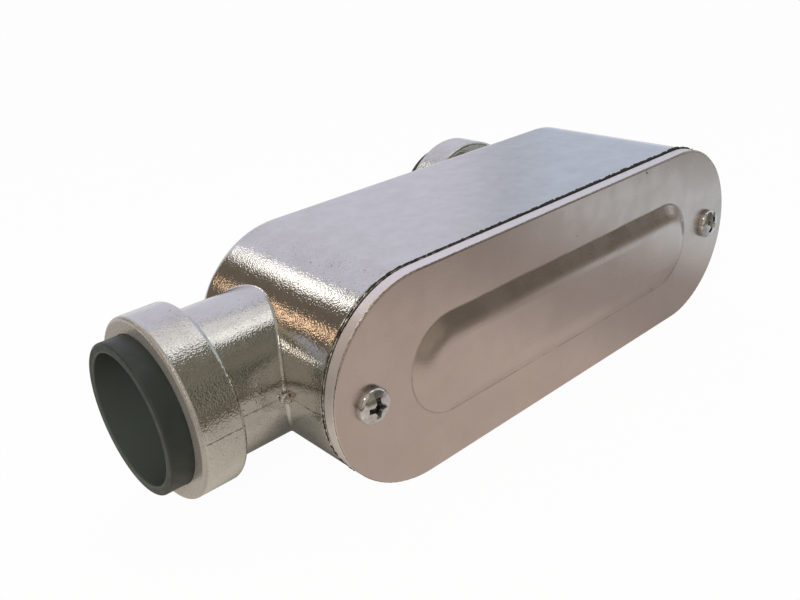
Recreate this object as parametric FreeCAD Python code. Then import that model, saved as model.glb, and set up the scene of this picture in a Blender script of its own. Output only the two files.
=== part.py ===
import FreeCAD, Part
import math
import os
from FreeCAD import Vector

# LB conduit body: a cast oblong tub with a run hub at its left end and a back hub near its right
# end, closed at the front by a screwed cover.  Millimetres.
# X runs along the body, the cover faces -Y and Z is up.  The body lies on one of its flat sides,
# and the origin is the centre of that side.

# ---- The tub ----
BODY_WIDTH = 50.0            # over the two flat sides
END_CENTRES = 100.0          # between the centres of the two round ends
CASTING_DEPTH = 49.5         # rim face to the outside of the back wall
SIDE_WALL = 3.0
BACK_WALL = 3.0
BACK_EDGE_R = 3.5            # outside, round the back wall
CHAMBER_CORNER_R = 2.5       # inside, round the back wall
RIM_EDGE_R = 0.4

# ---- The hubs ----
TUBE_R = 14.77               # one-inch thin-wall conduit, outside
TUBE_CLEARANCE = 0.23        # radial, tube to socket
NECK_WALL = 2.6
COLLAR_R = 20.9
COLLAR_LENGTH = 10.4
COLLAR_MOUTH_EDGE_R = 0.9
COLLAR_BACK_EDGE_R = 1.0
COLLAR_ROOT_R = 0.8
NECK_ROOT_R = 0.7
HUB_AXIS_TO_BACK = 19.5      # run hub's axis to the outside of the back wall
RUN_NECK_LENGTH = 12.1       # end of the tub to the collar
BACK_NECK_LENGTH = 13.9      # back wall to the collar
BACK_HUB_X = 36.9            # back hub's axis from the middle of the tub
STOP_STAND_OFF = 1.5         # the tube's stop, outside the face that the neck leaves
THROAT_R = 13.3
THROAT_EDGE_R = 1.5

# ---- The bushes ----
BUSH_WALL = 2.2
BUSH_SEAT_CLEARANCE = 0.1    # radial, bush to collar
BUSH_SEAT_DEPTH = 8.5
BUSH_PROUD = 5.2
BUSH_OUTER_EDGE_R = 0.5
BUSH_BORE_EDGE_R = 0.3

# ---- The cover, its gasket and its raised panel ----
COVER_THICKNESS = 3.4
COVER_EDGE_R = 0.5
GASKET_THICKNESS = 0.6
GASKET_INSET = 0.5
PANEL_WIDTH = 24.5
PANEL_LENGTH = 107.8
PANEL_FLAT_WIDTH = 11.3      # of the flat along the panel's middle
PANEL_SLOPE_ANGLE = 25.0
PANEL_CREST_R = 9.5
PANEL_FOOT_R = 0.8
PANEL_WALL = 2.4             # cover's thickness at the panel, which is hollow behind

# ---- The cover screws and their bosses ----
SCREW_X = 65.3               # each side of the middle
SCREW_R = 2.1
SCREW_LENGTH = 12.0
SCREW_POINT = 0.8            # chamfer at the tip
HEAD_R = 4.1
HEAD_SIDE = 1.5              # height of the head's upright side
HEAD_CROWN = 1.1             # height of the dome above that
HEAD_EDGE_R = 0.9
RECESS_WIDTH = 1.2
RECESS_SPAN = 5.4
RECESS_FLOOR_SPAN = 2.4
RECESS_CORE_R = 1.3          # of the cone where the blades cross, at the top of the head
RECESS_CORE_FLOOR_R = 0.7
RECESS_DEPTH = 1.8
SCREW_TURNS = {"left": 4.0, "right": 26.0}   # of the cross recess, degrees
COVER_HOLE_CLEARANCE = 0.3   # radial, screw to cover and gasket
TAPPED_HOLE_CLEARANCE = 0.03  # radial: the thread itself is left plain
TAPPED_HOLE_SPARE = 2.0      # depth beyond the screw's tip
DRILL_POINT_ANGLE = 118.0
BOSS_WALL = 2.9
BOSS_FLOOR = 2.0
BOSS_END_R = 1.5

# ---- Worked out from the above ----
BODY_R = BODY_WIDTH / 2
CHAMBER_R = BODY_R - SIDE_WALL
RIM_Y = -CASTING_DEPTH / 2
BACK_Y = CASTING_DEPTH / 2
CHAMBER_BACK_Y = BACK_Y - BACK_WALL
COVER_BACK_Y = RIM_Y - GASKET_THICKNESS
COVER_FACE_Y = COVER_BACK_Y - COVER_THICKNESS
PANEL_BACK_Y = COVER_FACE_Y + PANEL_WALL
SOCKET_R = TUBE_R + TUBE_CLEARANCE
NECK_R = SOCKET_R + NECK_WALL
BUSH_R = SOCKET_R + BUSH_WALL
SEAT_R = BUSH_R + BUSH_SEAT_CLEARANCE
COVER_HOLE_R = SCREW_R + COVER_HOLE_CLEARANCE
TAPPED_HOLE_R = SCREW_R + TAPPED_HOLE_CLEARANCE
TAPPED_HOLE_DEPTH = SCREW_LENGTH - COVER_THICKNESS - GASKET_THICKNESS + TAPPED_HOLE_SPARE
BOSS_R = TAPPED_HOLE_R + BOSS_WALL
BOSS_END_Y = RIM_Y + TAPPED_HOLE_DEPTH + BOSS_FLOOR

INTO_BODY = Vector(0, 1, 0)
SMALL = 0.01                 # how far off its plane an edge may lie when it is looked up
OVERSHOOT = 1.0              # how far a cutter runs past an open end

# Each hub starts on the tub's skin and points out of it.
RUN_HUB = {"root": Vector(-END_CENTRES / 2 - BODY_R, BACK_Y - HUB_AXIS_TO_BACK, BODY_R),
           "out": Vector(-1, 0, 0), "neck": RUN_NECK_LENGTH}
BACK_HUB = {"root": Vector(BACK_HUB_X, BACK_Y, BODY_R),
            "out": Vector(0, 1, 0), "neck": BACK_NECK_LENGTH}
HUBS = {"run_hub": RUN_HUB, "back_hub": BACK_HUB}
SCREWS = {"left": -SCREW_X, "right": SCREW_X}


def oblong_block(radius, centres, y_start, y_end):
    """A block along Y whose outline has two straight sides and two round ends."""
    half = centres / 2
    low, high = BODY_R - radius, BODY_R + radius
    low_left, low_right = Vector(-half, y_start, low), Vector(half, y_start, low)
    high_right, high_left = Vector(half, y_start, high), Vector(-half, y_start, high)
    outline = [Part.LineSegment(low_left, low_right),
               Part.Arc(low_right, Vector(half + radius, y_start, BODY_R), high_right),
               Part.LineSegment(high_right, high_left),
               Part.Arc(high_left, Vector(-half - radius, y_start, BODY_R), low_left)]
    face = Part.Face(Part.Wire([edge.toShape() for edge in outline]))
    return face.extrude(Vector(0, y_end - y_start, 0))


def edges_at_depth(shape, y):
    """The edges of a shape that lie wholly in the plane at y."""
    def lies_in_plane(edge):
        box = edge.BoundBox
        return abs(box.YMin - y) < 1e-4 and abs(box.YMax - y) < 1e-4
    return [edge for edge in shape.Edges if lies_in_plane(edge)]


def turned(outline, start, axis):
    """Turn an outline of (distance along axis, radius) points about the axis."""
    across = Vector(0, 0, 1)
    points = [start + axis * along + across * radius for along, radius in outline]
    face = Part.Face(Part.makePolygon(points + points[:1]))
    return face.revolve(start, axis, 360)


def rod(radius, start, axis, length):
    return Part.makeCylinder(radius, length, start, axis)


# ---- Casting ----

def radius_from_axis(point, hub):
    offset = point - hub["root"]
    return (offset - hub["out"] * offset.dot(hub["out"])).Length


def distance_along(point, hub):
    return (point - hub["root"]).dot(hub["out"])


def edges_round_hub(shape, hub, radius, along_min, along_max):
    """The curved edges at one radius from a hub's axis, between two distances along it."""
    def goes_round(edge):
        if edge.Degenerated or isinstance(edge.Curve, Part.Line):
            return False
        points = edge.discretize(5)
        return (all(abs(radius_from_axis(point, hub) - radius) < 1e-3 for point in points)
                and all(along_min <= distance_along(point, hub) <= along_max for point in points))
    return [edge for edge in shape.Edges if goes_round(edge)]


def round_hub_edges(shape, hub, radius, along_min, along_max, fillet):
    return shape.makeFillet(fillet, edges_round_hub(shape, hub, radius, along_min, along_max))


def hub_outside(hub):
    """Neck and collar, from the tub's middle to the collar's mouth."""
    neck = hub["neck"]
    mouth = neck + COLLAR_LENGTH
    outline = [(-BODY_R, 0), (-BODY_R, NECK_R), (neck, NECK_R), (neck, COLLAR_R),
               (mouth, COLLAR_R), (mouth, 0)]
    solid = turned(outline, hub["root"], hub["out"])
    solid = round_hub_edges(solid, hub, NECK_R, neck - SMALL, neck + SMALL, COLLAR_ROOT_R)
    solid = round_hub_edges(solid, hub, COLLAR_R, neck - SMALL, neck + SMALL, COLLAR_BACK_EDGE_R)
    return round_hub_edges(solid, hub, COLLAR_R, mouth - SMALL, mouth + SMALL,
                           COLLAR_MOUTH_EDGE_R)


def hub_bore(hub):
    """Bush seat, tube socket and throat, as one stepped cutter."""
    mouth = hub["neck"] + COLLAR_LENGTH
    seat = mouth - BUSH_SEAT_DEPTH
    outline = [(-BODY_R, 0), (-BODY_R, THROAT_R), (STOP_STAND_OFF, THROAT_R),
               (STOP_STAND_OFF, SOCKET_R), (seat, SOCKET_R), (seat, SEAT_R),
               (mouth + OVERSHOOT, SEAT_R), (mouth + OVERSHOOT, 0)]
    return turned(outline, hub["root"], hub["out"])


def boss_block(x, y_start, y_end):
    """A screw boss's outline: a round post joined to the end wall by a web as wide."""
    wall_x = math.copysign(END_CENTRES / 2 + BODY_R - SIDE_WALL / 2, x)
    length = y_end - y_start
    post = rod(BOSS_R, Vector(x, y_start, BODY_R), INTO_BODY, length)
    web = Part.makeBox(abs(wall_x - x), length, 2 * BOSS_R,
                       Vector(min(x, wall_x), y_start, BODY_R - BOSS_R))
    return post.fuse(web).removeSplitter()


def boss(x):
    block = boss_block(x, RIM_Y, BOSS_END_Y)
    return block.makeFillet(BOSS_END_R, edges_at_depth(block, BOSS_END_Y))


def tapped_hole(x):
    point_depth = TAPPED_HOLE_R / math.tan(math.radians(DRILL_POINT_ANGLE / 2))
    outline = [(-OVERSHOOT, 0), (-OVERSHOOT, TAPPED_HOLE_R), (TAPPED_HOLE_DEPTH, TAPPED_HOLE_R),
               (TAPPED_HOLE_DEPTH + point_depth, 0)]
    return turned(outline, Vector(x, RIM_Y, BODY_R), INTO_BODY)


def make_casting():
    tub = oblong_block(BODY_R, END_CENTRES, RIM_Y, BACK_Y)
    tub = tub.makeFillet(BACK_EDGE_R, edges_at_depth(tub, BACK_Y))
    tub = tub.makeFillet(RIM_EDGE_R, edges_at_depth(tub, RIM_Y))
    casting = tub.fuse([hub_outside(hub) for hub in HUBS.values()])
    for hub in HUBS.values():
        casting = round_hub_edges(casting, hub, NECK_R, -BODY_R, SMALL, NECK_ROOT_R)
    chamber = oblong_block(CHAMBER_R, END_CENTRES, RIM_Y - OVERSHOOT, CHAMBER_BACK_Y)
    chamber = chamber.makeFillet(CHAMBER_CORNER_R, edges_at_depth(chamber, CHAMBER_BACK_Y))
    bores = [hub_bore(hub) for hub in HUBS.values()]
    casting = casting.cut([chamber] + bores)
    for hub in HUBS.values():
        casting = round_hub_edges(casting, hub, THROAT_R, -BODY_R, 0, THROAT_EDGE_R)
    casting = casting.fuse([boss(x).cut(bores) for x in SCREWS.values()])
    return casting.cut([tapped_hole(x) for x in SCREWS.values()])


# ---- Bushes ----

def make_bush(hub):
    """A plain sleeve that sits in the collar's seat and stands out of its mouth."""
    mouth = hub["neck"] + COLLAR_LENGTH
    outer_end = mouth + BUSH_PROUD
    start = hub["root"] + hub["out"] * (mouth - BUSH_SEAT_DEPTH)
    length = BUSH_SEAT_DEPTH + BUSH_PROUD
    sleeve = rod(BUSH_R, start, hub["out"], length).cut(rod(SOCKET_R, start, hub["out"], length))
    for radius, fillet in ((BUSH_R, BUSH_OUTER_EDGE_R), (SOCKET_R, BUSH_BORE_EDGE_R)):
        sleeve = round_hub_edges(sleeve, hub, radius, outer_end - SMALL, outer_end + SMALL,
                                 fillet)
    return sleeve


# ---- Cover and gasket ----

def panel_section(x, y):
    """Half of the raised panel's section, in the plane at x, standing forward of the plane at y.

    From the middle out: a flat, a domed crest, a straight slope and a hollow foot, all tangent.
    """
    angle = math.radians(PANEL_SLOPE_ANGLE)
    flat_end, foot = PANEL_FLAT_WIDTH / 2, PANEL_WIDTH / 2
    slope_run = foot - flat_end - (PANEL_CREST_R + PANEL_FOOT_R) * math.sin(angle)
    height = (slope_run * math.tan(angle)
              + (PANEL_CREST_R + PANEL_FOOT_R) * (1 - math.cos(angle)))

    def at(out, up):
        return Vector(x, y - up, BODY_R + out)

    def on_crest(turn):
        return at(flat_end + PANEL_CREST_R * math.sin(turn),
                  height - PANEL_CREST_R * (1 - math.cos(turn)))

    def on_foot(turn):
        return at(foot - PANEL_FOOT_R * math.sin(turn), PANEL_FOOT_R * (1 - math.cos(turn)))
    edges = [Part.LineSegment(at(0, height), on_crest(0)),
             Part.Arc(on_crest(0), on_crest(angle / 2), on_crest(angle)),
             Part.LineSegment(on_crest(angle), on_foot(angle)),
             Part.Arc(on_foot(angle), on_foot(angle / 2), on_foot(0)),
             Part.LineSegment(on_foot(0), at(0, 0)),
             Part.LineSegment(at(0, 0), at(0, height))]
    return Part.Face(Part.Wire([edge.toShape() for edge in edges]))


def panel_block(y):
    """The raised oblong panel as a solid that stands forward of the plane at y."""
    reach = (PANEL_LENGTH - PANEL_WIDTH) / 2
    upper = panel_section(-reach, y).extrude(Vector(2 * reach, 0, 0))
    lower = upper.mirror(Vector(0, y, BODY_R), Vector(0, 0, 1))
    ends = [panel_section(side * reach, y).revolve(Vector(side * reach, y, BODY_R), INTO_BODY,
                                                   side * 180) for side in (-1, 1)]
    return upper.fuse([lower] + ends).removeSplitter()


def screw_holes(y_start, y_end):
    return [rod(COVER_HOLE_R, Vector(x, y_start, BODY_R), INTO_BODY, y_end - y_start)
            for x in SCREWS.values()]


def panel_hollow():
    """The space behind the panel, which follows its front and opens at the cover's back."""
    mouth = oblong_block(PANEL_WIDTH / 2, PANEL_LENGTH - PANEL_WIDTH, PANEL_BACK_Y,
                         COVER_BACK_Y + OVERSHOOT)
    return panel_block(PANEL_BACK_Y).fuse(mouth)


def make_cover():
    plate = oblong_block(BODY_R, END_CENTRES, COVER_FACE_Y, COVER_BACK_Y)
    for y in (COVER_FACE_Y, COVER_BACK_Y):
        plate = plate.makeFillet(COVER_EDGE_R, edges_at_depth(plate, y))
    plate = plate.fuse(panel_block(COVER_FACE_Y)).cut(panel_hollow())
    return plate.cut(screw_holes(COVER_FACE_Y, COVER_BACK_Y))


def make_gasket():
    """A flat sheet that covers the rim and the tops of the screw bosses."""
    sheet = oblong_block(BODY_R - GASKET_INSET, END_CENTRES, COVER_BACK_Y, RIM_Y)
    opening = oblong_block(CHAMBER_R, END_CENTRES, COVER_BACK_Y, RIM_Y)
    opening = opening.cut([boss_block(x, COVER_BACK_Y, RIM_Y) for x in SCREWS.values()])
    return sheet.cut([opening] + screw_holes(COVER_BACK_Y, RIM_Y))


# ---- Cover screws ----

def cross_recess(x, turn):
    """Two crossed blades and a cone between them, all narrower towards the recess's floor."""
    top = HEAD_SIDE + HEAD_CROWN
    floor = top - RECESS_DEPTH
    rim, base = RECESS_SPAN / 2, RECESS_FLOOR_SPAN / 2
    y_top, y_floor = COVER_FACE_Y - top, COVER_FACE_Y - floor
    start_z = BODY_R - RECESS_WIDTH / 2
    corners = [Vector(x - rim, y_top, start_z), Vector(x + rim, y_top, start_z),
               Vector(x + base, y_floor, start_z), Vector(x - base, y_floor, start_z)]
    blade = Part.Face(Part.makePolygon(corners + corners[:1])).extrude(Vector(0, 0, RECESS_WIDTH))
    axis_point = Vector(x, y_top, BODY_R)
    core = Part.makeCone(RECESS_CORE_R, RECESS_CORE_FLOOR_R, RECESS_DEPTH, axis_point, INTO_BODY)
    return [core] + [blade.rotated(axis_point, INTO_BODY, turn + quarter) for quarter in (0, 90)]


def screw_head(under_head):
    """A pan head: an upright side and a domed top, rounded where they meet."""
    height = HEAD_SIDE + HEAD_CROWN
    dome_r = (HEAD_R ** 2 + HEAD_CROWN ** 2) / (2 * HEAD_CROWN)
    half_out = HEAD_R / 2
    up_at_half = height - dome_r + math.sqrt(dome_r ** 2 - half_out ** 2)

    def at(out, up):
        return under_head + Vector(out, -up, 0)
    edges = [Part.LineSegment(at(0, 0), at(HEAD_R, 0)),
             Part.LineSegment(at(HEAD_R, 0), at(HEAD_R, HEAD_SIDE)),
             Part.Arc(at(HEAD_R, HEAD_SIDE), at(half_out, up_at_half), at(0, height)),
             Part.LineSegment(at(0, height), at(0, 0))]
    section = Part.Face(Part.Wire([edge.toShape() for edge in edges]))
    head = section.revolve(under_head, INTO_BODY, 360)
    return head.makeFillet(HEAD_EDGE_R, edges_at_depth(head, under_head.y - HEAD_SIDE))


def make_screw(x, turn):
    """A pan head screw with a cross recess, its head on the cover."""
    under_head = Vector(x, COVER_FACE_Y, BODY_R)
    shank = turned([(0, 0), (0, SCREW_R), (SCREW_LENGTH - SCREW_POINT, SCREW_R),
                    (SCREW_LENGTH, SCREW_R - SCREW_POINT), (SCREW_LENGTH, 0)],
                   under_head, INTO_BODY)
    return shank.fuse(screw_head(under_head)).cut(cross_recess(x, turn))


def save(shape, node):
    shape.Solids[0].exportStep(f"parts/{node}.step")


os.makedirs("parts", exist_ok=True)
save(make_casting(), "body_casting")
for name, hub in HUBS.items():
    save(make_bush(hub), f"{name}_bush")
save(make_cover(), "cover")
save(make_gasket(), "cover_gasket")
for name, x in SCREWS.items():
    save(make_screw(x, SCREW_TURNS[name]), f"cover_screw_{name}")
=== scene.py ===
"""Looks for a cast conduit body: plated casting, satin cover, black bushes and zinc screws."""
import math

import bmesh
import bpy
from mathutils import Matrix, Vector, noise as turbulence


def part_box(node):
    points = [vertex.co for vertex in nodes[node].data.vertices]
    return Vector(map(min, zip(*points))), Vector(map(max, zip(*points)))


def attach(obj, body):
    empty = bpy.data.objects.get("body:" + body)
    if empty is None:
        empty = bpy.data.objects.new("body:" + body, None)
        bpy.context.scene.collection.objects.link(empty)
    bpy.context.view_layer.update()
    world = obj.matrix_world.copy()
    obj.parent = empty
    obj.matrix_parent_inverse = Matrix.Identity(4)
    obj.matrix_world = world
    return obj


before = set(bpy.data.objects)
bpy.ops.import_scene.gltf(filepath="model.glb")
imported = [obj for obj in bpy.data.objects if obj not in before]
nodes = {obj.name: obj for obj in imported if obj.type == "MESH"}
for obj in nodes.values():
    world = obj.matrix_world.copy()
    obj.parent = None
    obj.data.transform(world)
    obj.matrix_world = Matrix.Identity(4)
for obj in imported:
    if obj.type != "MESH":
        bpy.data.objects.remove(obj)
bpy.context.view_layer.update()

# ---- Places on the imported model, in metres ----

RUN_BUSH_LOW, RUN_BUSH_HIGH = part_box("run_hub_bush")
BACK_BUSH_LOW, BACK_BUSH_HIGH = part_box("back_hub_bush")
COVER_LOW, COVER_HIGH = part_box("cover")
CAST_LOW, CAST_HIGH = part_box("body_casting")
MIDDLE_Z = (COVER_HIGH.z + COVER_LOW.z) / 2
HALF_WIDTH = (COVER_HIGH.z - COVER_LOW.z) / 2
END_REACH = (COVER_HIGH.x - COVER_LOW.x) / 2 - HALF_WIDTH   # middle to a round end's centre
RIM_Y = CAST_LOW.y           # front of the tub, where the cover closes it
BACK_WALL_Y = -RIM_Y         # its back wall, as far behind the middle
NECK_R = 0.0176              # outside radius of a hub's neck
RUN_AXIS = (RUN_BUSH_LOW + RUN_BUSH_HIGH) / 2
RUN_NECK_FRONT = RUN_AXIS.y - NECK_R
BACK_AXIS = (BACK_BUSH_LOW + BACK_BUSH_HIGH) / 2
PANEL_REACH = 0.04165        # middle to the centre of the raised panel's round end
PANEL_HALF_WIDTH = 0.01225

# ---- The camera, as the photograph was taken ----

CAMERA_AT = Vector((-0.155479, -0.146177, 0.117653))
CAMERA_RIGHT = Vector((0.735227, -0.673634, -0.075226))
CAMERA_UP = Vector((0.338604, 0.268869, 0.901697))
CAMERA_BACK = Vector((-0.587187, -0.688424, 0.425775))
CAMERA_LENS = 38.02          # mm, on the sensor below
SENSOR_WIDTH = 36.0          # mm
CAMERA_NEAR = 0.01           # metres before it from which it sees

# ---- Colours, linear ----

WHITE = (1.0, 1.0, 1.0, 1.0)
CAST_BRIGHT = (0.66, 0.65, 0.62, 1.0)
CAST_DULL = (0.58, 0.565, 0.53, 1.0)
CAST_GRIME_AND_SHADE = (0.10, 0.085, 0.065, 1.0)
CAST_MOUTH = (0.48, 0.45, 0.41, 1.0)
CAST_UNPLATED_AND_SHADE = (0.080, 0.092, 0.082, 1.0)
COVER_LIGHT = (0.81, 0.69, 0.66, 1.0)
COVER_DARK = (0.75, 0.64, 0.61, 1.0)
COVER_CUT = (0.84, 0.78, 0.77, 1.0)
COVER_MARK_AND_PAINTED_DARK = (0.16, 0.14, 0.12, 1.0)
BUSH_BLACK = (0.024, 0.029, 0.026, 1.0)
BUSH_GREY = (0.032, 0.038, 0.034, 1.0)
BUSH_BORE_PAINTED_LIGHT = (0.062, 0.073, 0.064, 1.0)
GASKET_BLACK = (0.045, 0.034, 0.030, 1.0)
ZINC_BRIGHT = (0.86, 0.86, 0.88, 1.0)
ZINC_DULL = (0.66, 0.66, 0.67, 1.0)
ZINC_SHADED = (0.06, 0.06, 0.07, 1.0)
ROOM = (0.26, 0.24, 0.19, 1.0)
ROOM_FLOOR = (0.17, 0.145, 0.115, 1.0)
SHEET = (0.86, 0.86, 0.90, 1.0)
TABLE_LEFT = (0.66, 0.61, 0.53, 1.0)
TABLE_FRONT = (0.50, 0.45, 0.40, 1.0)
TABLE_DIM = (0.32, 0.30, 0.28, 1.0)
TABLE_RIGHT = (0.56, 0.64, 0.66, 1.0)
TABLE_UNDER = (0.12, 0.11, 0.095, 1.0)


# ---- Shader helpers ----

def new_material(name):
    """A material whose node tree holds only an output and a Principled shader, joined."""
    made = bpy.data.materials.new(name)
    made.use_nodes = True
    tree = made.node_tree
    tree.nodes.clear()
    output = tree.nodes.new("ShaderNodeOutputMaterial")
    shader = tree.nodes.new("ShaderNodeBsdfPrincipled")
    tree.links.new(shader.outputs["BSDF"], output.inputs["Surface"])
    return made, tree, shader


def feed(tree, socket, value):
    """Join a socket to an output, or set it to a constant."""
    if isinstance(value, bpy.types.NodeSocket):
        tree.links.new(value, socket)
    else:
        socket.default_value = value


def place(tree):
    """The point being shaded, in the object's own metres."""
    return tree.nodes.new("ShaderNodeTexCoord").outputs["Object"]


def noise(tree, at, scale, detail=2.0, rough=0.5):
    """A cloudy noise in space, around 0.5 and mostly between 0.3 and 0.7."""
    node = tree.nodes.new("ShaderNodeTexNoise")
    feed(tree, node.inputs["Vector"], at)
    node.inputs["Scale"].default_value = scale
    node.inputs["Detail"].default_value = detail
    node.inputs["Roughness"].default_value = rough
    return node.outputs["Fac"]


def spread(tree, value, low, high, to_low=0.0, to_high=1.0):
    """Map one range of values smoothly onto another."""
    node = tree.nodes.new("ShaderNodeMapRange")
    node.interpolation_type = "SMOOTHSTEP"
    feed(tree, node.inputs["Value"], value)
    for name, number in (("From Min", low), ("From Max", high),
                         ("To Min", to_low), ("To Max", to_high)):
        node.inputs[name].default_value = number
    return node.outputs["Result"]


def patchy(tree, at, grain, levels):
    """A noise of a given grain, its values spread by the levels."""
    return spread(tree, noise(tree, at, *grain), *levels)


def at_least(tree, share, least):
    """A share from 0 to 1, raised so that it starts from a least value instead of 0."""
    return spread(tree, share, 0.0, 1.0, least, 1.0)


def calculate(tree, operation, first, second=0.0):
    """The result of a Math node on one or two values."""
    node = tree.nodes.new("ShaderNodeMath")
    node.operation = operation
    feed(tree, node.inputs[0], first)
    feed(tree, node.inputs[1], second)
    return node.outputs[0]


def within(tree, value, bounds, soft):
    """1 between two bounds, falling off over a soft edge centred on each."""
    rise = spread(tree, value, bounds[0] - soft / 2, bounds[0] + soft / 2)
    fall = spread(tree, value, bounds[1] + soft / 2, bounds[1] - soft / 2)
    return calculate(tree, "MULTIPLY", rise, fall)


def blend_colours(tree, factor, first, second):
    """The first colour where the factor is 0 and the second where it is 1."""
    node = tree.nodes.new("ShaderNodeMix")
    node.data_type = "RGBA"
    feed(tree, node.inputs["Factor"], factor)
    feed(tree, node.inputs["A"], first)
    feed(tree, node.inputs["B"], second)
    return node.outputs["Result"]


def raise_bumps(tree, shader, layers):
    """Roughen a shader's normal by each height in turn, given with the metres that 1 stands for."""
    normal = None
    for height, metres in layers:
        node = tree.nodes.new("ShaderNodeBump")
        feed(tree, node.inputs["Height"], height)
        node.inputs["Distance"].default_value = metres
        node.inputs["Strength"].default_value = 1.0
        if normal is not None:
            tree.links.new(normal, node.inputs["Normal"])
        normal = node.outputs["Normal"]
    tree.links.new(normal, shader.inputs["Normal"])


def separate(tree, vector):
    """The X, Y and Z outputs of a vector."""
    node = tree.nodes.new("ShaderNodeSeparateXYZ")
    tree.links.new(vector, node.inputs[0])
    return node.outputs


def vector_math(tree, operation, first, second=(0.0, 0.0, 0.0)):
    """A Vector Math node on a vector and a constant."""
    node = tree.nodes.new("ShaderNodeVectorMath")
    node.operation = operation
    tree.links.new(first, node.inputs[0])
    node.inputs[1].default_value = second
    return node


def distance_from_line(tree, at, point, along):
    """Distance of the shaded point from a line through a point, along X (0) or Y (1)."""
    offset = vector_math(tree, "SUBTRACT", at, point).outputs["Vector"]
    across = [0.0 if axis == along else 1.0 for axis in range(3)]
    flat = vector_math(tree, "MULTIPLY", offset, across).outputs["Vector"]
    return vector_math(tree, "LENGTH", flat).outputs["Value"]


def squareness(tree, axis):
    """1 where the surface is square to an axis, whichever way it faces, and 0 along it."""
    normal = tree.nodes.new("ShaderNodeNewGeometry").outputs["Normal"]
    return calculate(tree, "ABSOLUTE", separate(tree, normal)[axis])


def openness(tree, reach, samples):
    """1 on an open face, and less the more that other faces stand about it within reach."""
    node = tree.nodes.new("ShaderNodeAmbientOcclusion")
    node.samples = samples
    node.inputs["Distance"].default_value = reach
    return node.outputs["AO"]


def dress(node, made):
    """Give a CAD node its material."""
    slots = nodes[node].data.materials
    slots.clear()
    slots.append(made)


# ---- Materials ----
# A noise is given as its clouds to a metre, its detail and its roughness, or only the first of
# them. Levels are two values that are spread onto 0 and 1, or onto the third and the fourth.
# Heights are in metres.

SOCKET_EDGE = 0.0156         # radius inside which a hub's bore is coloured apart: the casting's wall left unplated and darkened with painted shade, the bush's bore paler as painted light
SOCKET_SOFT = 0.0002         # over which the plating begins
COLLAR_DEPTH = 0.0105        # how far a hub's collar reaches back from its mouth
MOUTH_DEPTH = 0.0005         # how deep the turned lip of that mouth is
HUB_END_SOFT = 0.0005        # over which a hub's end passes into the rest
CREVICE_REACH = 0.0028       # how near a neighbouring face has to be for painted shade in a corner
CREVICE_SAMPLES = 6


def inside_hubs(tree, at):
    """1 within the bores of the two hubs."""
    parts = separate(tree, at)
    bores = []
    for axis, along, beyond in ((RUN_AXIS, 0, "LESS_THAN"), (BACK_AXIS, 1, "GREATER_THAN")):
        bore = spread(tree, distance_from_line(tree, at, axis, along), SOCKET_EDGE,
                      SOCKET_EDGE - SOCKET_SOFT)
        bores.append(calculate(tree, "MULTIPLY", bore, calculate(tree, beyond, parts[along], 0.0)))
    return calculate(tree, "MAXIMUM", *bores)


def hub_ends(tree, at, depth):
    """1 on the outer ends of the two hubs, down to a depth from their mouths."""
    parts = separate(tree, at)
    run_edge, back_edge = CAST_LOW.x + depth, CAST_HIGH.y - depth
    run = spread(tree, parts["X"], run_edge + HUB_END_SOFT, run_edge)
    back = spread(tree, parts["Y"], back_edge - HUB_END_SOFT, back_edge)
    return calculate(tree, "MAXIMUM", run, back)


FLAT_LEVELS = (0.985, 0.999)                     # of squareness, on the ground flat sides
MOTTLE = (160.0, 5.0, 0.65)
MOTTLE_LEVELS = (0.25, 0.75)
PITS = (700.0, 3.0, 0.7)
PIT_LEVELS = (0.66, 0.74, 0.0, 0.7)
SPECKS = (2300.0, 1.0)
SPECK_LEVELS = (0.56, 0.70, 0.0, 0.22)
CORNER_SHADE_LEVELS = (0.62, 0.20, 0.0, 0.75)          # of openness, for the painted shade in corners
CORNER_SHADE_PIT_LEVELS = (0.35, 0.55, 0.35, 1.0)      # of the pits, so that the painted shade in corners lies in patches
CAST_SATIN = (260.0, 3.0)
CAST_SATIN_LEVELS = (0.3, 0.7, 0.05, 0.10)
FLAT_ROUGHER = 0.14          # how much rougher the flat sides are than the rest
MOUTH_ROUGHER = 0.18         # how much rougher the turned lips are
MOUTH_CHALKY = 0.45          # how much less metallic they look
WAVES = (60.0,)
WAVE_HEIGHT = 0.00012
FLAT_WAVES = 0.08            # what is left of the waves on the flat sides, as a share
LUMPS = (420.0,)
LUMP_HEIGHT = 0.00002
GRAIN = (2700.0, 0.4)
GRAIN_HEIGHT = 0.00006
FLAT_GRAIN = 0.12            # what is left of the grain on the flat sides
TUB_GRAIN = 0.58             # and everywhere but on the collars


def cast_colour(tree, at, rough_part, mouths, inside):
    """Mottled plating with grimy pits and specks, painted shade in corners, chalky lips, and bores
    left unplated and darkened with painted shade.
    """
    mottle = patchy(tree, at, MOTTLE, MOTTLE_LEVELS)
    colour = blend_colours(tree, mottle, CAST_DULL, CAST_BRIGHT)
    colour = blend_colours(tree, mouths, colour, CAST_MOUTH)
    pits = noise(tree, at, *PITS)
    specks = patchy(tree, at, SPECKS, SPECK_LEVELS)
    specks = calculate(tree, "MULTIPLY", specks, rough_part)
    grimy = calculate(tree, "MAXIMUM", spread(tree, pits, *PIT_LEVELS), specks)
    colour = blend_colours(tree, grimy, colour, CAST_GRIME_AND_SHADE)
    # Painted shade: darker where other faces stand close, in corners and creases, broken into
    # patches by the pits.
    corner_shade = spread(tree, openness(tree, CREVICE_REACH, CREVICE_SAMPLES), *CORNER_SHADE_LEVELS)
    corner_shade = calculate(tree, "MULTIPLY", corner_shade, spread(tree, pits, *CORNER_SHADE_PIT_LEVELS))
    colour = blend_colours(tree, corner_shade, colour, CAST_GRIME_AND_SHADE)
    # Left unplated, and darkened further as painted shade deep in the hub bores.
    return blend_colours(tree, inside, colour, CAST_UNPLATED_AND_SHADE)


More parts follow.
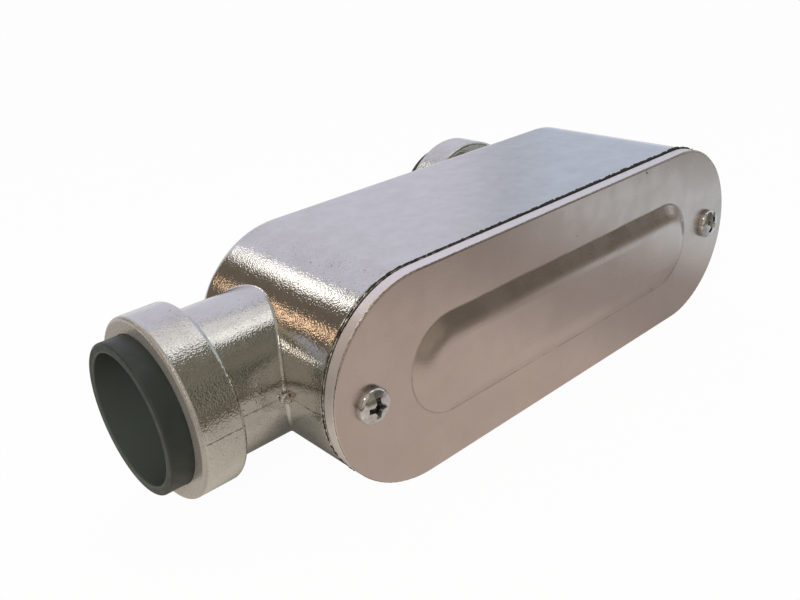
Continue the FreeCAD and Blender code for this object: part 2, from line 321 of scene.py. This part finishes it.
def raise_cast_bumps(tree, shader, at, rough_part):
    """Waves, lumps and grain, with less of them on the flat sides and less grain on the tub."""
    waves = calculate(tree, "MULTIPLY", noise(tree, at, *WAVES),
                      at_least(tree, rough_part, FLAT_WAVES))
    grain = calculate(tree, "MULTIPLY", noise(tree, at, *GRAIN),
                      at_least(tree, rough_part, FLAT_GRAIN))
    collars = hub_ends(tree, at, COLLAR_DEPTH)
    grain = calculate(tree, "MULTIPLY", grain, at_least(tree, collars, TUB_GRAIN))
    raise_bumps(tree, shader, ((waves, WAVE_HEIGHT), (noise(tree, at, *LUMPS), LUMP_HEIGHT),
                               (grain, GRAIN_HEIGHT)))


def cast_metal():
    """Thin bright plating over a sand casting: coarse grain, smoother on the ground flat sides."""
    made, tree, shader = new_material("plated_casting")
    at = place(tree)
    flat = spread(tree, squareness(tree, "Z"), *FLAT_LEVELS)
    rough_part = calculate(tree, "SUBTRACT", 1.0, flat)
    mouths = hub_ends(tree, at, MOUTH_DEPTH)
    inside = inside_hubs(tree, at)
    feed(tree, shader.inputs["Base Color"], cast_colour(tree, at, rough_part, mouths, inside))
    bare = calculate(tree, "MAXIMUM", inside, calculate(tree, "MULTIPLY", mouths, MOUTH_CHALKY))
    feed(tree, shader.inputs["Metallic"], calculate(tree, "SUBTRACT", 1.0, bare))
    satin = patchy(tree, at, CAST_SATIN, CAST_SATIN_LEVELS)
    for where, rougher in ((flat, FLAT_ROUGHER), (mouths, MOUTH_ROUGHER)):
        satin = calculate(tree, "ADD", satin, calculate(tree, "MULTIPLY", where, rougher))
    feed(tree, shader.inputs["Roughness"], satin)
    raise_cast_bumps(tree, shader, at, rough_part)
    return made


COVER_CLOUDS = (45.0, 4.0, 0.6)
COVER_CLOUD_LEVELS = (0.35, 0.65)
MARKS = (260.0,)
MARK_LEVELS = (0.76, 0.80)
CREASE_HALF = 0.0002         # half the width of the line of painted shade round the panel's foot
CREASE_PATCHES = (120.0, 3.0)
CREASE_LEVELS = (0.35, 0.6, 0.1, 0.4)
SHEARED_LEVELS = (0.6, 0.2)                      # of squareness, on the cover's cut edge
EDGE_LINE = (0.40, 0.80)                         # of squareness, on the painted dark reflection along it
EDGE_LINE_SOFT = 0.1
EDGE_PATCHES = (1500.0,)
EDGE_LEVELS = (0.35, 0.60, 0.2, 0.7)
COVER_SATIN = (150.0, 3.0)
COVER_SATIN_LEVELS = (0.3, 0.7, 0.24, 0.32)
SHEARED_ROUGHER = 0.12       # how much rougher the cover's cut edge is than its face
SHEARED_CHALKY = 0.20        # how much less metallic that edge looks
COVER_WAVES = (50.0,)
COVER_WAVE_HEIGHT = 0.00010
COVER_GRAIN = (1800.0,)
COVER_GRAIN_HEIGHT = 0.000015


def panel_distance(tree, at):
    """Distance from the outline of the cover's raised panel, less than 0 inside it."""
    parts = separate(tree, at)
    beyond = calculate(tree, "SUBTRACT", calculate(tree, "ABSOLUTE", parts["X"]), PANEL_REACH)
    beyond = calculate(tree, "MAXIMUM", beyond, 0.0)
    aside = calculate(tree, "SUBTRACT", parts["Z"], MIDDLE_Z)
    squared = calculate(tree, "ADD", calculate(tree, "MULTIPLY", beyond, beyond),
                        calculate(tree, "MULTIPLY", aside, aside))
    return calculate(tree, "SUBTRACT", calculate(tree, "SQRT", squared), PANEL_HALF_WIDTH)


def cover_marks_and_painted_dark(tree, at, frontward):
    """A few handling marks, painted shade in the crease round the panel's foot, and a painted dark
    reflection along the cut edge.
    """
    marks = patchy(tree, at, MARKS, MARK_LEVELS)
    # Painted shade in the crease round the raised panel's foot, in patches.
    creased = within(tree, panel_distance(tree, at), (-CREASE_HALF, CREASE_HALF), CREASE_HALF)
    creased = calculate(tree, "MULTIPLY", creased, patchy(tree, at, CREASE_PATCHES, CREASE_LEVELS))
    # Painted dark reflection where the face turns round into the cut edge, in patches.
    edged = within(tree, frontward, EDGE_LINE, EDGE_LINE_SOFT)
    edged = calculate(tree, "MULTIPLY", edged, patchy(tree, at, EDGE_PATCHES, EDGE_LEVELS))
    return calculate(tree, "MAXIMUM", marks, calculate(tree, "MAXIMUM", creased, edged))


def cover_metal():
    """Satin plating on the pressed cover, with faint clouds and a paler, rougher cut edge."""
    made, tree, shader = new_material("satin_cover")
    at = place(tree)
    frontward = squareness(tree, "Y")
    sheared = spread(tree, frontward, *SHEARED_LEVELS)
    clouds = patchy(tree, at, COVER_CLOUDS, COVER_CLOUD_LEVELS)
    colour = blend_colours(tree, clouds, COVER_DARK, COVER_LIGHT)
    colour = blend_colours(tree, sheared, colour, COVER_CUT)
    colour = blend_colours(tree, cover_marks_and_painted_dark(tree, at, frontward), colour, COVER_MARK_AND_PAINTED_DARK)
    feed(tree, shader.inputs["Base Color"], colour)
    satin = patchy(tree, at, COVER_SATIN, COVER_SATIN_LEVELS)
    rougher = calculate(tree, "MULTIPLY", sheared, SHEARED_ROUGHER)
    feed(tree, shader.inputs["Roughness"], calculate(tree, "ADD", satin, rougher))
    chalky = calculate(tree, "MULTIPLY", sheared, SHEARED_CHALKY)
    feed(tree, shader.inputs["Metallic"], calculate(tree, "SUBTRACT", 1.0, chalky))
    raise_bumps(tree, shader, ((noise(tree, at, *COVER_WAVES), COVER_WAVE_HEIGHT),
                               (noise(tree, at, *COVER_GRAIN), COVER_GRAIN_HEIGHT)))
    return made


BUSH_CLOUDS = (180.0, 3.0)
BUSH_CLOUD_LEVELS = (0.3, 0.7)
BUSH_SATIN = (320.0,)
BUSH_SATIN_LEVELS = (0.3, 0.7, 0.44, 0.54)
BUSH_SHINE = 0.45            # specular level, where 0.5 is plain plastic
BUSH_SKIN = (2200.0,)
BUSH_SKIN_HEIGHT = 0.000012


def bush_plastic():
    """Moulded black plastic with a slight cloudiness, a fine moulded skin and painted light in the
    bores.
    """
    made, tree, shader = new_material("black_plastic")
    at = place(tree)
    clouds = patchy(tree, at, BUSH_CLOUDS, BUSH_CLOUD_LEVELS)
    colour = blend_colours(tree, clouds, BUSH_BLACK, BUSH_GREY)
    # Painted light: the bores are a paler copy of the black plastic, standing in for light that
    # reaches into them.
    colour = blend_colours(tree, inside_hubs(tree, at), colour, BUSH_BORE_PAINTED_LIGHT)
    feed(tree, shader.inputs["Base Color"], colour)
    feed(tree, shader.inputs["Roughness"], patchy(tree, at, BUSH_SATIN, BUSH_SATIN_LEVELS))
    shader.inputs["Specular IOR Level"].default_value = BUSH_SHINE
    raise_bumps(tree, shader, ((noise(tree, at, *BUSH_SKIN), BUSH_SKIN_HEIGHT),))
    return made


GASKET_CLOUDS = (600.0,)
GASKET_ROUGHNESS = 0.9
GASKET_GRAIN = (1500.0,)
GASKET_GRAIN_HEIGHT = 0.00005


def gasket_rubber():
    """Matt black rubber with a brownish bloom."""
    made, tree, shader = new_material("gasket_rubber")
    at = place(tree)
    colour = blend_colours(tree, noise(tree, at, *GASKET_CLOUDS), GASKET_BLACK, BUSH_BLACK)
    feed(tree, shader.inputs["Base Color"], colour)
    shader.inputs["Roughness"].default_value = GASKET_ROUGHNESS
    raise_bumps(tree, shader, ((noise(tree, at, *GASKET_GRAIN), GASKET_GRAIN_HEIGHT),))
    return made


ZINC_CLOUDS = (900.0,)
ZINC_CLOUD_LEVELS = (0.3, 0.7)
RECESS_LEVELS = (0.70, 0.35, 0.0, 0.9)           # of openness, in the driver's recess
ZINC_SATIN = (1500.0,)
ZINC_SATIN_LEVELS = (0.3, 0.7, 0.05, 0.12)
ZINC_HEIGHT = 0.00002


def zinc():
    """Bright zinc on the screws, a little duller in clouds and dark in the driver's recess."""
    made, tree, shader = new_material("zinc_plating")
    at = place(tree)
    clouds = patchy(tree, at, ZINC_CLOUDS, ZINC_CLOUD_LEVELS)
    colour = blend_colours(tree, clouds, ZINC_DULL, ZINC_BRIGHT)
    shaded = spread(tree, openness(tree, CREVICE_REACH, CREVICE_SAMPLES), *RECESS_LEVELS)
    feed(tree, shader.inputs["Base Color"], blend_colours(tree, shaded, colour, ZINC_SHADED))
    shader.inputs["Metallic"].default_value = 1.0
    feed(tree, shader.inputs["Roughness"], patchy(tree, at, ZINC_SATIN, ZINC_SATIN_LEVELS))
    raise_bumps(tree, shader, ((noise(tree, at, *ZINC_CLOUDS), ZINC_HEIGHT),))
    return made


casting_material, cover_material = cast_metal(), cover_metal()
bush_material, zinc_material = bush_plastic(), zinc()
gasket_material = gasket_rubber()
dress("body_casting", casting_material)
dress("cover", cover_material)
dress("cover_gasket", gasket_material)
for side in ("left", "right"):
    dress(f"cover_screw_{side}", zinc_material)
for hub in ("run", "back"):
    dress(f"{hub}_hub_bush", bush_material)


# ---- Pieces left by casting and fitting ----

SEAM_STEP = 0.0003           # between probes of the parting line, and between rings of a bead
SEAM_HALF_WIDTH = 0.00032
SEAM_HEIGHT = 0.00016
SEAM_SINK = 0.00004          # how far the ridge's foot is sunk in the skin
# Its cross-section: across and up, as shares of its half width and its height.
SEAM_SECTION = ((-1.0, 0.0), (-0.5, 0.7), (0.0, 1.0), (0.5, 0.7), (1.0, 0.0))
SEAM_JUMP = 0.0015           # a longer step than this leads to another surface
SEAM_MEAN = 0.75             # how high the ridge is on the whole, as a share of its height
SEAM_RAGGED = 0.9            # how far that goes up and down
SEAM_LUMPS = 900.0           # ups and downs to a metre
SEAM_WANDER = 0.00012        # how far the ridge strays from the parting plane
SEAM_BENDS = 250.0           # strays to a metre
FAR_OFF = 0.2                # where a probing ray starts, well outside the part
RAY_START = 0.002            # or how far off a wall, where a hub would be in its way
HUB_LIP = 0.0012             # what the ridge leaves clear at a hub's mouth
RIM_LIP = 0.0003             # and at the tub's rim
BEAD_SIDES = 6
BEAD_SWELLS = ((0.4, 0.4), (1.0, 0.6))   # for each swelling, a factor on the grain and its strength
BEAD_SKIN = (2.0, 0.5)                   # the same for the lumps of the skin
DROP_R = 0.0011
DROP_PROUD = 0.0006          # how far its centre stands off both walls
DROP_FINENESS = 3            # times that its faces are divided
DROP_LUMPS = 1500.0          # lumps to a metre
DROP_RAGGED = 0.5            # how strong those are

# Beads round the joint between cover and casting: name, distances in from the cover's edge and
# forward of the rim, thickness, how much thicker it grows towards +X, lumps to a metre, material.
BEADS = (
    ("gasket_bead", 0.0001, 0.00010, 0.00040, 0.30, 1000.0, gasket_material),
    ("rim_burr", 0.0003, 0.00015, 0.00018, -0.50, 1300.0, casting_material),
)


def new_piece(name, vertices, faces, made):
    """A smooth mesh that rides on the casting."""
    mesh = bpy.data.meshes.new(name)
    mesh.from_pydata(vertices, [], faces)
    mesh.polygons.foreach_set("use_smooth", [True] * len(mesh.polygons))
    mesh.materials.append(made)
    piece = bpy.data.objects.new(name, mesh)
    bpy.context.scene.collection.objects.link(piece)
    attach(piece, "root")


def skin_point(start, direction):
    """Where a ray meets the casting's outside, and the skin's normal there."""
    casting = nodes["body_casting"]
    into = casting.matrix_world.inverted()
    hit, point, normal, _ = casting.ray_cast(into @ start, into.to_3x3() @ direction)
    if not hit:
        return None
    return casting.matrix_world @ point, (casting.matrix_world.to_3x3() @ normal).normalized()


def seam_stretch(first, last, direction):
    """Points on the skin at the parting plane, probed by rays that start along a straight line."""
    steps = int((last - first).length / SEAM_STEP)
    found = []
    for step in range(steps + 1):
        met = skin_point(first.lerp(last, step / steps), direction)
        if met:
            found.append(met)
    return found


def raise_seam(found, vertices, faces):
    """A low uneven ridge over the points found, broken where they jump to another surface."""
    count = len(SEAM_SECTION)
    for number, (point, normal) in enumerate(found):
        uneven = SEAM_MEAN + SEAM_RAGGED * turbulence.noise(point * SEAM_LUMPS)
        wander = SEAM_WANDER * turbulence.noise(point * SEAM_BENDS)
        base = len(vertices)
        for across, up in SEAM_SECTION:
            height = -SEAM_SINK + (SEAM_SINK + SEAM_HEIGHT * uneven) * up
            side = Vector((0.0, 0.0, across * SEAM_HALF_WIDTH + wander))
            vertices.append(point + side + normal * height)
        if number and (point - found[number - 1][0]).length < SEAM_JUMP:
            for step in range(count - 1):
                low = base - count + step
                faces.append((low, low + 1, low + 1 + count, low + count))


def make_parting_line():
    """The ridge that the mould's joint leaves round the casting at its middle height."""
    hub_front, end_wall = CAST_LOW.x + HUB_LIP, -HALF_WIDTH - END_REACH
    hub_back, behind = CAST_HIGH.y - HUB_LIP, BACK_WALL_Y + RAY_START
    front = RIM_Y + RIM_LIP
    # Each stretch is where its rays start, first and last, and which way they go, all as X and Y.
    stretches = (
        ((hub_front, -FAR_OFF), (end_wall, -FAR_OFF), (0.0, 1.0)),
        ((hub_front, FAR_OFF), (end_wall, FAR_OFF), (0.0, -1.0)),
        ((end_wall - RAY_START, RUN_NECK_FRONT), (end_wall - RAY_START, front), (1.0, 0.0)),
        ((FAR_OFF, front), (FAR_OFF, BACK_WALL_Y), (-1.0, 0.0)),
        ((0.0, BACK_WALL_Y), (0.0, hub_back), (1.0, 0.0)),
        ((FAR_OFF, BACK_WALL_Y), (FAR_OFF, hub_back), (-1.0, 0.0)),
        ((end_wall, behind), (BACK_AXIS.x - NECK_R, behind), (0.0, -1.0)),
        ((BACK_AXIS.x + NECK_R, behind), (CAST_HIGH.x, behind), (0.0, -1.0)),
    )
    vertices, faces = [], []
    for first, last, direction in stretches:
        found = seam_stretch(Vector((*first, MIDDLE_Z)), Vector((*last, MIDDLE_Z)),
                             Vector((*direction, 0.0)))
        raise_seam(found, vertices, faces)
    new_piece("parting_line", vertices, faces, casting_material)


def oblong_point(turn, radius):
    """A point and outward direction on the oblong outline, with turn from 0 to 1 round it."""
    straight, round_end = 2 * END_REACH, math.pi * radius
    along = turn * 2 * (straight + round_end)
    second_half = along >= straight + round_end
    if second_half:
        along -= straight + round_end
    if along < straight:
        offset, outward = Vector((-END_REACH + along, 0.0, radius)), Vector((0.0, 0.0, 1.0))
    else:
        angle = (along - straight) / radius
        outward = Vector((math.sin(angle), 0.0, math.cos(angle)))
        offset = Vector((END_REACH, 0.0, 0.0)) + outward * radius
    if second_half:
        offset, outward = -offset, -outward
    return offset + Vector((0.0, 0.0, MIDDLE_Z)), outward


def bead_ring(centre, outward, size, grain):
    """The lumpy ring of points round one place on a bead."""
    finer, strength = BEAD_SKIN
    points = []
    for side in range(BEAD_SIDES):
        angle = 2 * math.pi * side / BEAD_SIDES
        lumps = turbulence.noise((centre + outward * angle) * grain * finer)
        reach = size * (1.0 + strength * lumps)
        point = centre + outward * math.cos(angle) * reach
        point.y += math.sin(angle) * reach
        point.z = max(point.z, CAST_LOW.z)     # pressed flat where the body lies
        points.append(point)
    return points


def make_ragged_bead(name, radius, y, thickness, lean, grain, made):
    """An uneven bead round the joint between cover and casting, thicker towards +X by lean."""
    count = int(2 * (2 * END_REACH + math.pi * radius) / SEAM_STEP)
    vertices, faces = [], []
    for number in range(count):
        centre, outward = oblong_point(number / count, radius)
        centre.y = y
        swelling = sum(strength * turbulence.noise(centre * grain * finer)
                       for finer, strength in BEAD_SWELLS)
        size = thickness * (1.0 + lean * centre.x / END_REACH) * (1.0 + swelling)
        vertices.extend(bead_ring(centre, outward, size, grain))
        low, high = number * BEAD_SIDES, (number + 1) % count * BEAD_SIDES
        for side in range(BEAD_SIDES):
            after = (side + 1) % BEAD_SIDES
            faces.append((low + side, low + after, high + after, high + side))
    new_piece(name, vertices, faces, made)


def make_cast_drop():
    """A stray drop of metal in the corner where the parting line leaves the run hub's neck."""
    corner = Vector((-HALF_WIDTH - END_REACH - DROP_PROUD, RUN_NECK_FRONT - DROP_PROUD, MIDDLE_Z))
    shape = bmesh.new()
    bmesh.ops.create_icosphere(shape, subdivisions=DROP_FINENESS, radius=DROP_R)
    vertices = []
    for vertex in shape.verts:
        lump = 1.0 + DROP_RAGGED * turbulence.noise(vertex.co * DROP_LUMPS)
        vertices.append(corner + vertex.co * lump)
    faces = [[vertex.index for vertex in face.verts] for face in shape.faces]
    shape.free()
    # The drop is as satin as the cover, not as bright as the plating round it.
    new_piece("cast_drop", vertices, faces, cover_material)


make_parting_line()
make_cast_drop()
for name, inset, forward, thickness, lean, grain, made in BEADS:
    make_ragged_bead(name, HALF_WIDTH - inset, RIM_Y - forward, thickness, lean, grain, made)


# ---- Floor and light ----

FLOOR_HALF = 3.0
FLOOR_SHOWN = 0.96           # share of the floor that shows plainly; the rest takes the shadow
FLOOR_ROUGHNESS = 0.9
TABLE_MIDDLE = (0.03, -0.03, 0.0)
TABLE_LEVELS = (0.13, 0.27)             # metres from there, over which it fades into the room
DIM_BAND = (0.025, 0.10)                # metres to the right, between which the table is dimmer
DIM_SOFT = 0.05
LEFT_LEVELS = (-0.065, -0.090)          # of X, over which it grows brighter to the left
RIGHT_LEVELS = (0.07, 0.12)             # of X, over which it turns greenish to the right
FRONT_LEVELS = (-0.10, -0.18)           # of Y, over which it darkens to the front
SHEET_LEVELS = (0.06, 0.18)             # of Y, over which the white sheet begins behind
UNDER_REACH = 0.03           # how far off the object still shades the table close by
UNDER_SAMPLES = 16
UNDER_LEVELS = (0.34, 0.14)             # of openness, over which that shade deepens
TO_DEGREES = math.degrees(1.0)
FILL_AT = Vector((-0.80, -0.55, 0.55))  # metres, to the front left and above
FILL_SIZE = 0.6              # metres
FILL_POWER = 7.0             # watts

# What stands round the object: colour, azimuth and elevation ranges in degrees, soft edge.
# Azimuth 0 is straight behind the object (+Y) and 90 is to its right (+X). A later one covers
# an earlier one.
SURROUNDINGS = (
    ((0.44, 0.40, 0.33), (-180.0, -95.0), (-90.0, 48.0), 12.0),      # brown wall on the left
    ((0.18, 0.145, 0.115), (-100.0, -15.0), (-90.0, 48.0), 5.0),     # dark gap left of the sheet
    ((0.48, 0.45, 0.40), (-170.0, 20.0), (48.0, 90.0), 6.0),         # dim ceiling
    ((0.98, 0.96, 0.98), (20.0, 132.0), (54.0, 90.0), 5.0),          # bright ceiling
    ((0.76, 0.75, 0.88), (-6.0, 48.0), (-90.0, 53.0), 6.0),          # white sheet behind
    ((0.62, 0.68, 0.83), (48.0, 68.0), (-90.0, 53.0), 8.0),          # its bluer right part
    ((0.60, 0.66, 0.68), (66.0, 119.0), (-90.0, 53.0), 10.0),        # light wall on the right
    ((0.12, 0.11, 0.09), (118.0, 156.0), (-90.0, 50.0), 6.0),        # dark corner beside it
    ((0.22, 0.20, 0.16), (130.0, 163.0), (30.0, 50.0), 10.0),        # top of that corner
    ((0.17, 0.16, 0.13), (110.0, 132.0), (50.0, 61.5), 3.0),         # beam over that corner
    ((1.45, 1.42, 1.40), (82.0, 108.0), (61.0, 69.0), 3.0),          # skylight
    ((0.58, 0.46, 0.30), (-60.0, -44.0), (28.0, 50.0), 4.0),         # warm shelf
    ((1.9, 1.28, 0.82), (-37.5, -31.0), (18.5, 26.5), 1.5),          # gold lamp
    ((2.2, 2.15, 2.1), (-18.5, -5.5), (34.0, 43.5), 2.0),            # white lamp
    ((3.6, 3.4, 3.1), (-45.5, -41.0), (1.5, 6.0), 1.0),              # low lamp
    ((4.0, 3.7, 3.4), (-114.0, -92.0), (48.0, 57.0), 3.0),           # lamp on the left
)


def shown_rays(tree):
    """1 for camera rays, and 1 for rays that a gloss or a glass sends on."""
    path = tree.nodes.new("ShaderNodeLightPath")
    mirrored = calculate(tree, "MAXIMUM", path.outputs["Is Glossy Ray"],
                         path.outputs["Is Transmission Ray"])
    return path.outputs["Is Camera Ray"], mirrored


def table_colour(tree):
    """The table as the metal mirrors it: toned by place, and dark close under the object."""
    at = tree.nodes.new("ShaderNodeNewGeometry").outputs["Position"]
    parts = separate(tree, at)
    dim = within(tree, parts["X"], DIM_BAND, DIM_SOFT)
    near = blend_colours(tree, dim, TABLE_FRONT, TABLE_DIM)
    for side, levels, colour in (("X", RIGHT_LEVELS, TABLE_RIGHT), ("Y", FRONT_LEVELS, ROOM_FLOOR),
                                 ("X", LEFT_LEVELS, TABLE_LEFT)):
        near = blend_colours(tree, spread(tree, parts[side], *levels), near, colour)
    far = blend_colours(tree, spread(tree, parts["Y"], *SHEET_LEVELS), ROOM_FLOOR, SHEET)
    away = vector_math(tree, "DISTANCE", at, TABLE_MIDDLE).outputs["Value"]
    table = blend_colours(tree, spread(tree, away, *TABLE_LEVELS), near, far)
    shaded = spread(tree, openness(tree, UNDER_REACH, UNDER_SAMPLES), *UNDER_LEVELS)
    return blend_colours(tree, shaded, table, TABLE_UNDER)


def floor_material():
    """White to the camera, toned to the metal, and mostly glowing so that its shadow is faint."""
    made, tree, shader = new_material("pale_table")
    camera_ray, mirrored = shown_rays(tree)
    colour = blend_colours(tree, camera_ray, table_colour(tree), WHITE)
    feed(tree, shader.inputs["Base Color"], colour)
    shader.inputs["Roughness"].default_value = FLOOR_ROUGHNESS
    plain = tree.nodes.new("ShaderNodeEmission")
    feed(tree, plain.inputs["Color"], colour)
    shown = calculate(tree, "MULTIPLY", calculate(tree, "MAXIMUM", camera_ray, mirrored),
                      FLOOR_SHOWN)
    mix = tree.nodes.new("ShaderNodeMixShader")
    feed(tree, mix.inputs["Fac"], shown)
    tree.links.new(shader.outputs["BSDF"], mix.inputs[1])
    tree.links.new(plain.outputs["Emission"], mix.inputs[2])
    output = next(node for node in tree.nodes if node.type == "OUTPUT_MATERIAL")
    tree.links.new(mix.outputs["Shader"], output.inputs["Surface"])
    return made


def make_floor():
    """A wide flat table under the object."""
    corners = [(-FLOOR_HALF, -FLOOR_HALF, 0.0), (FLOOR_HALF, -FLOOR_HALF, 0.0),
               (FLOOR_HALF, FLOOR_HALF, 0.0), (-FLOOR_HALF, FLOOR_HALF, 0.0)]
    mesh = bpy.data.meshes.new("floor")
    mesh.from_pydata(corners, [], [(0, 1, 2, 3)])
    mesh.materials.append(floor_material())
    floor = bpy.data.objects.new("floor", mesh)
    bpy.context.scene.collection.objects.link(floor)


def make_world():
    """A studio round the object, given by direction, and plain white to the camera."""
    world = bpy.data.worlds.new("studio")
    world.use_nodes = True
    bpy.context.scene.world = world
    tree = world.node_tree
    parts = separate(tree, tree.nodes.new("ShaderNodeTexCoord").outputs["Generated"])
    azimuth = calculate(tree, "ARCTAN2", parts["X"], parts["Y"])
    azimuth = calculate(tree, "MULTIPLY", azimuth, TO_DEGREES)
    elevation = calculate(tree, "ARCSINE", parts["Z"])
    elevation = calculate(tree, "MULTIPLY", elevation, TO_DEGREES)
    colour = ROOM
    for patch_colour, across, up, soft in SURROUNDINGS:
        patch = calculate(tree, "MULTIPLY", within(tree, azimuth, across, soft),
                          within(tree, elevation, up, soft))
        colour = blend_colours(tree, patch, colour, (*patch_colour, 1.0))
    camera_ray, _ = shown_rays(tree)
    colour = blend_colours(tree, camera_ray, colour, WHITE)
    tree.links.new(colour, tree.nodes["Background"].inputs["Color"])


def make_lamp():
    """Soft light from the front left that fills what isn't metal; the metal mirrors the studio."""
    data = bpy.data.lights.new("soft_fill", "AREA")
    data.shape = "DISK"
    data.size = FILL_SIZE
    data.energy = FILL_POWER
    lamp = bpy.data.objects.new("soft_fill", data)
    bpy.context.scene.collection.objects.link(lamp)
    lamp.location = FILL_AT
    lamp.rotation_euler = (-FILL_AT).to_track_quat("-Z", "Y").to_euler()
    lamp.visible_glossy = False


def make_camera():
    """The camera that the photograph was taken with, as fitted to its outlines."""
    data = bpy.data.cameras.new("camera")
    data.lens = CAMERA_LENS
    data.sensor_width = SENSOR_WIDTH
    data.clip_start = CAMERA_NEAR
    camera = bpy.data.objects.new("camera", data)
    bpy.context.scene.collection.objects.link(camera)
    turn = Matrix((CAMERA_RIGHT, CAMERA_UP, CAMERA_BACK)).transposed().to_4x4()
    camera.matrix_world = Matrix.Translation(CAMERA_AT) @ turn
    bpy.context.scene.camera = camera


make_floor()
make_world()
make_lamp()
make_camera()
bpy.context.scene.view_settings.view_transform = "Standard"
